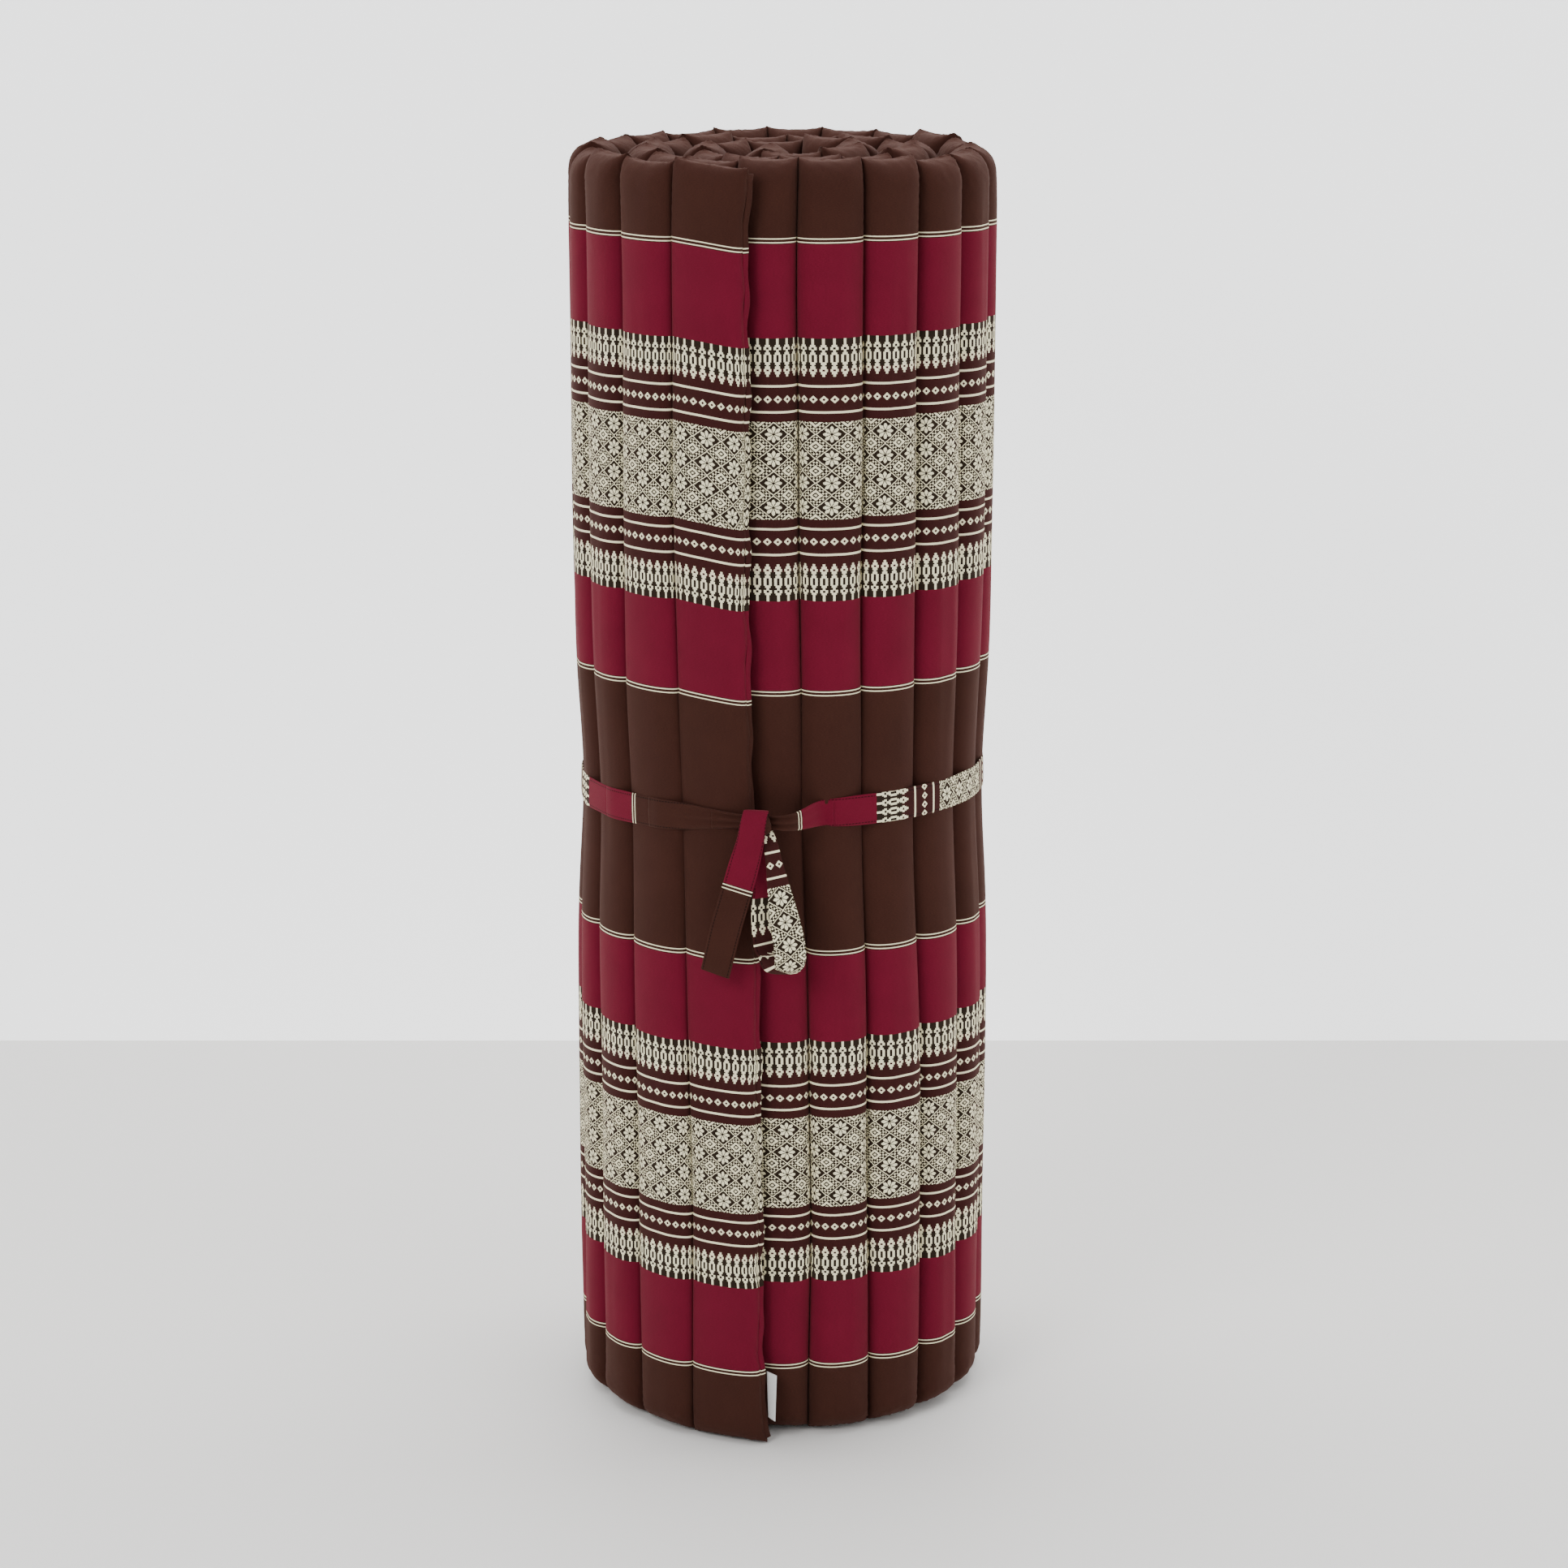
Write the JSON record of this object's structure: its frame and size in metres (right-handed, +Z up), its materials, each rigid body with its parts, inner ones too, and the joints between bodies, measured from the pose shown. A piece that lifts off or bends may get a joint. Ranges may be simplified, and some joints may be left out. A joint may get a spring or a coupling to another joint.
{
  "type": "roll-up kapok mattress",
  "caption": "Rolled kapok mattress of hinged stuffed channels, standing on end and tied round the middle with a fabric band in a bow.",
  "frame": {"origin": "on the floor, under the middle of the tied roll's box", "axes": "+Z up along the channels; -Y is the front, where the knot is; +X is to the right seen from the front"},
  "size_m": [0.335, 0.3649, 1],
  "materials": {
    "casing": "matte woven cotton with red and patterned bands",
    "hem": "matte woven cotton, stitched",
    "tie_fabric": "matte woven cotton, flattened",
    "thread": "matte thread",
    "label": "smooth woven tape, blank"
  },
  "bodies": {
    "channel_01": {"channel_01": "casing", "outer_hem": "hem", "tie_knot": "tie_fabric"},
    "channel_02": {"channel_02": "casing"},
    "channel_03": {"channel_03": "casing"},
    "channel_04": {"channel_04": "casing"},
    "channel_05": {"channel_05": "casing"},
    "channel_06": {"channel_06": "casing"},
    "channel_07": {"channel_07": "casing"},
    "channel_08": {"channel_08": "casing"},
    "channel_09": {"channel_09": "casing"},
    "channel_10": {"channel_10": "casing", "tie_band": "tie_fabric", "tie_stitching": "thread"},
    "channel_11": {"channel_11": "casing"},
    "channel_12": {"channel_12": "casing"},
    "channel_13": {"channel_13": "casing"},
    "channel_14": {"channel_14": "casing"},
    "channel_15": {"channel_15": "casing"},
    "channel_16": {"channel_16": "casing"},
    "channel_17": {"channel_17": "casing"},
    "channel_18": {"channel_18": "casing"},
    "channel_19": {"channel_19": "casing"},
    "channel_20": {"channel_20": "casing"},
    "channel_21": {"channel_21": "casing"},
    "channel_22": {"channel_22": "casing"},
    "channel_23": {"channel_23": "casing"},
    "channel_24": {"channel_24": "casing"},
    "channel_25": {"channel_25": "casing"},
    "channel_26": {"channel_26": "casing"},
    "channel_27": {"channel_27": "casing"},
    "channel_28": {"channel_28": "casing"},
    "channel_29": {"channel_29": "casing"},
    "channel_30": {"channel_30": "casing"},
    "channel_31": {"channel_31": "casing"},
    "channel_32": {"channel_32": "casing"},
    "channel_33": {"channel_33": "casing"},
    "channel_34": {"channel_34": "casing"},
    "channel_35": {"channel_35": "casing"},
    "channel_36": {"channel_36": "casing"},
    "channel_37": {"channel_37": "casing"},
    "channel_38": {"channel_38": "casing"},
    "channel_39": {"channel_39": "casing"},
    "channel_40": {"channel_40": "casing"},
    "channel_41": {"channel_41": "casing"},
    "channel_42": {"channel_42": "casing"},
    "channel_43": {"channel_43": "casing"},
    "channel_44": {"channel_44": "casing", "inner_hem": "hem"},
    "tail": {"tie_tail": "tie_fabric"},
    "loop": {"tie_loop": "tie_fabric"},
    "label": {"care_label": "label"}
  },
  "joints": [
    {"name": "unroll", "type": "hinge", "parent": "channel_10", "child": "channel_11", "pos_m": [0.02616, 0.15552, 0.5], "axis": [0, 0, 1], "range_deg": [0, 17.87], "deforming": ["tie_band"]},
    {"name": "seam_01", "type": "hinge", "parent": "channel_02", "child": "channel_01", "pos_m": [-0.07448, -0.12727, 0.5], "axis": [0, 0, -1], "range_deg": [-0.5, 19.41]},
    {"name": "seam_02", "type": "hinge", "parent": "channel_03", "child": "channel_02", "pos_m": [-0.11243, -0.09167, 0.5], "axis": [0, 0, -1], "range_deg": [-0.5, 18.31]},
    {"name": "seam_03", "type": "hinge", "parent": "channel_04", "child": "channel_03", "pos_m": [-0.13618, -0.04886, 0.5], "axis": [0, 0, -1], "range_deg": [-0.5, 17.4]},
    {"name": "seam_04", "type": "hinge", "parent": "channel_05", "child": "channel_04", "pos_m": [-0.14597, -0.00325, 0.5], "axis": [0, 0, -1], "range_deg": [-0.5, 16.8]},
    {"name": "seam_05", "type": "hinge", "parent": "channel_06", "child": "channel_05", "pos_m": [-0.14267, 0.04188, 0.5], "axis": [0, 0, -1], "range_deg": [-0.5, 17.34]},
    {"name": "seam_06", "type": "hinge", "parent": "channel_07", "child": "channel_06", "pos_m": [-0.1266, 0.08371, 0.5], "axis": [0, 0, -1], "range_deg": [-0.5, 17.91]},
    {"name": "seam_07", "type": "hinge", "parent": "channel_08", "child": "channel_07", "pos_m": [-0.09875, 0.11881, 0.5], "axis": [0, 0, -1], "range_deg": [-0.5, 18.02]},
    {"name": "seam_08", "type": "hinge", "parent": "channel_09", "child": "channel_08", "pos_m": [-0.06162, 0.1439, 0.5], "axis": [0, 0, -1], "range_deg": [-0.5, 18.13]},
    {"name": "seam_09", "type": "hinge", "parent": "channel_10", "child": "channel_09", "pos_m": [-0.01863, 0.15656, 0.5], "axis": [0, 0, -1], "range_deg": [-0.5, 18.25]},
    {"name": "seam_11", "type": "hinge", "parent": "channel_11", "child": "channel_12", "pos_m": [0.06848, 0.14078, 0.5], "axis": [0, 0, 1], "range_deg": [-0.5, 18.49]},
    {"name": "seam_12", "type": "hinge", "parent": "channel_12", "child": "channel_13", "pos_m": [0.10418, 0.1137, 0.5], "axis": [0, 0, 1], "range_deg": [-0.5, 18.61]},
    {"name": "seam_13", "type": "hinge", "parent": "channel_13", "child": "channel_14", "pos_m": [0.12969, 0.07686, 0.5], "axis": [0, 0, 1], "range_deg": [-0.5, 18.74]},
    {"name": "seam_14", "type": "hinge", "parent": "channel_14", "child": "channel_15", "pos_m": [0.14239, 0.03388, 0.5], "axis": [0, 0, 1], "range_deg": [-0.5, 18.86]},
    {"name": "seam_15", "type": "hinge", "parent": "channel_15", "child": "channel_16", "pos_m": [0.1409, -0.0109, 0.5], "axis": [0, 0, 1], "range_deg": [-0.5, 18.99]},
    {"name": "seam_16", "type": "hinge", "parent": "channel_16", "child": "channel_17", "pos_m": [0.12529, -0.0529, 0.5], "axis": [0, 0, 1], "range_deg": [-0.5, 19.13]},
    {"name": "seam_17", "type": "hinge", "parent": "channel_17", "child": "channel_18", "pos_m": [0.09708, -0.08772, 0.5], "axis": [0, 0, 1], "range_deg": [-0.5, 19.26]},
    {"name": "seam_18", "type": "hinge", "parent": "channel_18", "child": "channel_19", "pos_m": [0.05916, -0.11161, 0.5], "axis": [0, 0, 1], "range_deg": [-0.5, 19.4]},
    {"name": "seam_19", "type": "hinge", "parent": "channel_19", "child": "channel_20", "pos_m": [0.01556, -0.12193, 0.5], "axis": [0, 0, 1], "range_deg": [-0.5, 21.84]},
    {"name": "seam_20", "type": "hinge", "parent": "channel_20", "child": "channel_21", "pos_m": [-0.02859, -0.1157, 0.5], "axis": [0, 0, 1], "range_deg": [-0.5, 27.55]},
    {"name": "seam_21", "type": "hinge", "parent": "channel_21", "child": "channel_22", "pos_m": [-0.06597, -0.08945, 0.5], "axis": [0, 0, 1], "range_deg": [-0.5, 20.52]},
    {"name": "seam_22", "type": "hinge", "parent": "channel_22", "child": "channel_23", "pos_m": [-0.09206, -0.05206, 0.5], "axis": [0, 0, 1], "range_deg": [-0.5, 20.29]},
    {"name": "seam_23", "type": "hinge", "parent": "channel_23", "child": "channel_24", "pos_m": [-0.10389, -0.00827, 0.5], "axis": [0, 0, 1], "range_deg": [-0.5, 19.87]},
    {"name": "seam_24", "type": "hinge", "parent": "channel_24", "child": "channel_25", "pos_m": [-0.10055, 0.03668, 0.5], "axis": [0, 0, 1], "range_deg": [-0.5, 22.89]},
    {"name": "seam_25", "type": "hinge", "parent": "channel_25", "child": "channel_26", "pos_m": [-0.08045, 0.07674, 0.5], "axis": [0, 0, 1], "range_deg": [-0.5, 25.06]},
    {"name": "seam_26", "type": "hinge", "parent": "channel_26", "child": "channel_27", "pos_m": [-0.04552, 0.10482, 0.5], "axis": [0, 0, 1], "range_deg": [-0.5, 25.38]},
    {"name": "seam_27", "type": "hinge", "parent": "channel_27", "child": "channel_28", "pos_m": [-0.00202, 0.11561, 0.5], "axis": [0, 0, 1], "range_deg": [-0.5, 25.71]},
    {"name": "seam_28", "type": "hinge", "parent": "channel_28", "child": "channel_29", "pos_m": [0.04193, 0.10684, 0.5], "axis": [0, 0, 1], "range_deg": [-0.5, 26.05]},
    {"name": "seam_29", "type": "hinge", "parent": "channel_29", "child": "channel_30", "pos_m": [0.0778, 0.07998, 0.5], "axis": [0, 0, 1], "range_deg": [-0.5, 26.4]},
    {"name": "seam_30", "type": "hinge", "parent": "channel_30", "child": "channel_31", "pos_m": [0.09834, 0.04014, 0.5], "axis": [0, 0, 1], "range_deg": [-0.5, 26.78]},
    {"name": "seam_31", "type": "hinge", "parent": "channel_31", "child": "channel_32", "pos_m": [0.09911, -0.00468, 0.5], "axis": [0, 0, 1], "range_deg": [-0.5, 27.17]},
    {"name": "seam_32", "type": "hinge", "parent": "channel_32", "child": "channel_33", "pos_m": [0.07969, -0.04507, 0.5], "axis": [0, 0, 1], "range_deg": [-0.5, 27.57]},
    {"name": "seam_33", "type": "hinge", "parent": "channel_33", "child": "channel_34", "pos_m": [0.04402, -0.07221, 0.5], "axis": [0, 0, 1], "range_deg": [-0.5, 28]},
    {"name": "seam_34", "type": "hinge", "parent": "channel_34", "child": "channel_35", "pos_m": [-0.00016, -0.0798, 0.5], "axis": [0, 0, 1], "range_deg": [-0.5, 39.54]},
    {"name": "seam_35", "type": "hinge", "parent": "channel_35", "child": "channel_36", "pos_m": [-0.03951, -0.05773, 0.5], "axis": [0, 0, 1], "range_deg": [-0.5, 34.3]},
    {"name": "seam_36", "type": "hinge", "parent": "channel_36", "child": "channel_37", "pos_m": [-0.06059, -0.0162, 0.5], "axis": [0, 0, 1], "range_deg": [-0.5, 29.79]},
    {"name": "seam_37", "type": "hinge", "parent": "channel_37", "child": "channel_38", "pos_m": [-0.05868, 0.02971, 0.5], "axis": [0, 0, 1], "range_deg": [-0.5, 36.53]},
    {"name": "seam_38", "type": "hinge", "parent": "channel_38", "child": "channel_39", "pos_m": [-0.03082, 0.06485, 0.5], "axis": [0, 0, 1], "range_deg": [-0.5, 42.84]},
    {"name": "seam_39", "type": "hinge", "parent": "channel_39", "child": "channel_40", "pos_m": [0.01344, 0.07205, 0.5], "axis": [0, 0, 1], "range_deg": [-0.5, 44.56]},
    {"name": "seam_40", "type": "hinge", "parent": "channel_40", "child": "channel_41", "pos_m": [0.05025, 0.04645, 0.5], "axis": [0, 0, 1], "range_deg": [-0.5, 46.5]},
    {"name": "seam_41", "type": "hinge", "parent": "channel_41", "child": "channel_42", "pos_m": [0.05741, 0.00218, 0.5], "axis": [0, 0, 1], "range_deg": [-0.5, 48.74]},
    {"name": "seam_42", "type": "hinge", "parent": "channel_42", "child": "channel_43", "pos_m": [0.02916, -0.03264, 0.5], "axis": [0, 0, 1], "range_deg": [-0.5, 57.84]},
    {"name": "seam_43", "type": "hinge", "parent": "channel_43", "child": "channel_44", "pos_m": [-0.01365, -0.02784, 0.5], "axis": [0, 0, 1], "range_deg": [-0.5, 81.51]},
    {"name": "tail_swing", "type": "hinge", "parent": "channel_01", "child": "tail", "pos_m": [-0.02626, -0.17821, 0.505], "axis": [-1, 0, 0], "range_deg": [0, 70]},
    {"name": "loop_swing", "type": "hinge", "parent": "channel_01", "child": "loop", "pos_m": [-0.00326, -0.16721, 0.491], "axis": [-1, 0, 0], "range_deg": [0, 60]},
    {"name": "label_fold", "type": "hinge", "parent": "channel_01", "child": "label", "pos_m": [-0.01744, -0.14771, 0.039], "axis": [0, 0, -1], "range_deg": [0, 60]}
  ],
  "couplings": [
    {"joint": "seam_01", "follows": "unroll", "ratio": 1.0583},
    {"joint": "seam_02", "follows": "unroll", "ratio": 0.99661},
    {"joint": "seam_03", "follows": "unroll", "ratio": 0.94597},
    {"joint": "seam_04", "follows": "unroll", "ratio": 0.91235},
    {"joint": "seam_05", "follows": "unroll", "ratio": 0.94231},
    {"joint": "seam_06", "follows": "unroll", "ratio": 0.97438},
    {"joint": "seam_07", "follows": "unroll", "ratio": 0.9806},
    {"joint": "seam_08", "follows": "unroll", "ratio": 0.98694},
    {"joint": "seam_09", "follows": "unroll", "ratio": 0.99341},
    {"joint": "seam_11", "follows": "unroll", "ratio": 1.0067},
    {"joint": "seam_12", "follows": "unroll", "ratio": 1.0136},
    {"joint": "seam_13", "follows": "unroll", "ratio": 1.0206},
    {"joint": "seam_14", "follows": "unroll", "ratio": 1.0278},
    {"joint": "seam_15", "follows": "unroll", "ratio": 1.0351},
    {"joint": "seam_16", "follows": "unroll", "ratio": 1.0425},
    {"joint": "seam_17", "follows": "unroll", "ratio": 1.0502},
    {"joint": "seam_18", "follows": "unroll", "ratio": 1.058},
    {"joint": "seam_19", "follows": "unroll", "ratio": 1.1945},
    {"joint": "seam_20", "follows": "unroll", "ratio": 1.5139},
    {"joint": "seam_21", "follows": "unroll", "ratio": 1.1202},
    {"joint": "seam_22", "follows": "unroll", "ratio": 1.1075},
    {"joint": "seam_23", "follows": "unroll", "ratio": 1.084},
    {"joint": "seam_24", "follows": "unroll", "ratio": 1.2531},
    {"joint": "seam_25", "follows": "unroll", "ratio": 1.3746},
    {"joint": "seam_26", "follows": "unroll", "ratio": 1.3923},
    {"joint": "seam_27", "follows": "unroll", "ratio": 1.4107},
    {"joint": "seam_28", "follows": "unroll", "ratio": 1.4298},
    {"joint": "seam_29", "follows": "unroll", "ratio": 1.4498},
    {"joint": "seam_30", "follows": "unroll", "ratio": 1.4706},
    {"joint": "seam_31", "follows": "unroll", "ratio": 1.4924},
    {"joint": "seam_32", "follows": "unroll", "ratio": 1.5152},
    {"joint": "seam_33", "follows": "unroll", "ratio": 1.539},
    {"joint": "seam_34", "follows": "unroll", "ratio": 2.1849},
    {"joint": "seam_35", "follows": "unroll", "ratio": 1.8919},
    {"joint": "seam_36", "follows": "unroll", "ratio": 1.6394},
    {"joint": "seam_37", "follows": "unroll", "ratio": 2.0166},
    {"joint": "seam_38", "follows": "unroll", "ratio": 2.3697},
    {"joint": "seam_39", "follows": "unroll", "ratio": 2.4658},
    {"joint": "seam_40", "follows": "unroll", "ratio": 2.5748},
    {"joint": "seam_41", "follows": "unroll", "ratio": 2.7},
    {"joint": "seam_42", "follows": "unroll", "ratio": 3.2092},
    {"joint": "seam_43", "follows": "unroll", "ratio": 4.5337}
  ]
}
